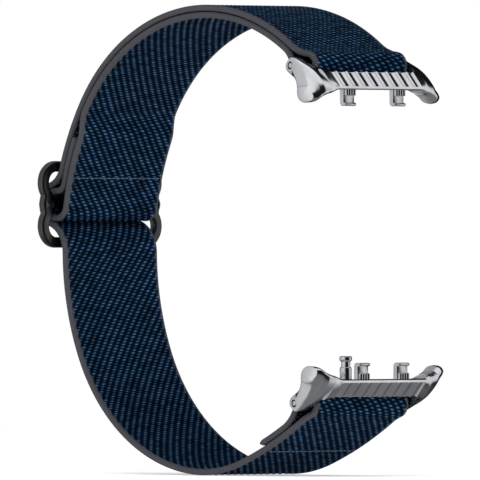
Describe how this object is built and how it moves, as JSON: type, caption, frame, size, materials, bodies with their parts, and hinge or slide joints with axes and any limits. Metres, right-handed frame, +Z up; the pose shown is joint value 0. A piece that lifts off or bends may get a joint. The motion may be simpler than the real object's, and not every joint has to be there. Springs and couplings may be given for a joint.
{
  "type": "fitness tracker band",
  "caption": "Woven elastic band in an open loop, with a strap slider and two metal end connectors that hook into a tracker and a latch pin.",
  "frame": {"origin": "bottom centre of the bounding box, with the band standing on its edge-on loop", "axes": "+X out of the display side, +Y across the band towards the far edge, +Z up from the lower connector to the upper one"},
  "size_m": [0.068, 0.0292, 0.075],
  "materials": {
    "webbing": "diagonal twill weave with grey selvedges",
    "thread": "twisted polyester thread",
    "gunmetal": "satin dark grey plating",
    "polished_casting": "mirror polished",
    "polished_steel": "polished",
    "spring_wire": "drawn"
  },
  "bodies": {
    "strap": {"strap_crown": "webbing", "outer_leg": "webbing", "inner_leg": "webbing", "lower_leg": "webbing", "strap_base": "webbing", "tail_stitching": "thread"},
    "slider": {"strap_end_loop": "webbing", "slider_pass": "webbing", "end_stitching": "thread", "slider_frame": "gunmetal", "slider_centre_bar": "gunmetal"},
    "upper_end": {"upper_connector": "polished_casting", "upper_hook_near": "polished_steel", "upper_hook_far": "polished_steel", "upper_bar_barrel": "polished_steel", "upper_bar_spring": "spring_wire"},
    "upper_tip_near": {"upper_bar_tip_near": "polished_steel"},
    "upper_tip_far": {"upper_bar_tip_far": "polished_steel"},
    "lower_end": {"lower_connector": "polished_casting", "lower_hook_near": "polished_steel", "lower_hook_far": "polished_steel", "lower_bar_barrel": "polished_steel", "lower_bar_spring": "spring_wire", "latch_spring": "spring_wire"},
    "lower_tip_near": {"lower_bar_tip_near": "polished_steel"},
    "lower_tip_far": {"lower_bar_tip_far": "polished_steel"},
    "latch": {"latch_pin": "polished_steel", "release_slider": "polished_steel"}
  },
  "joints": [
    {"name": "slider_travel", "type": "hinge", "parent": "strap", "child": "slider", "pos_m": [0.01445, 0, 0.03595], "axis": [0, 1, 0], "range_deg": [-22, 8], "deforming": ["outer_leg", "inner_leg", "lower_leg"]},
    {"name": "upper_pivot", "type": "hinge", "parent": "strap", "child": "upper_end", "pos_m": [0.02535, 0, 0.06515], "axis": [0, 1, 0], "range_deg": [-45, 45]},
    {"name": "upper_tip_near_press", "type": "slide", "parent": "upper_end", "child": "upper_tip_near", "axis": [0, 1, 0], "range_m": [0, 0.0009], "stiffness_N_per_m": 300, "springref_m": -0.0005, "deforming": ["upper_bar_spring"]},
    {"name": "upper_tip_far_press", "type": "slide", "parent": "upper_end", "child": "upper_tip_far", "axis": [0, -1, 0], "range_m": [0, 0.0009], "stiffness_N_per_m": 300, "springref_m": -0.0005, "deforming": ["upper_bar_spring"]},
    {"name": "lower_pivot", "type": "hinge", "parent": "strap", "child": "lower_end", "pos_m": [0.02621, 0, 0.01165], "axis": [0, 1, 0], "range_deg": [-45, 45]},
    {"name": "lower_tip_near_press", "type": "slide", "parent": "lower_end", "child": "lower_tip_near", "axis": [0, 1, 0], "range_m": [0, 0.0009], "stiffness_N_per_m": 300, "springref_m": -0.0005, "deforming": ["lower_bar_spring"]},
    {"name": "lower_tip_far_press", "type": "slide", "parent": "lower_end", "child": "lower_tip_far", "axis": [0, -1, 0], "range_m": [0, 0.0009], "stiffness_N_per_m": 300, "springref_m": -0.0005, "deforming": ["lower_bar_spring"]},
    {"name": "latch_draw", "type": "slide", "parent": "lower_end", "child": "latch", "axis": [0, 0, -1], "range_m": [0, 0.001], "stiffness_N_per_m": 200, "springref_m": -0.0005, "deforming": ["latch_spring"]}
  ]
}
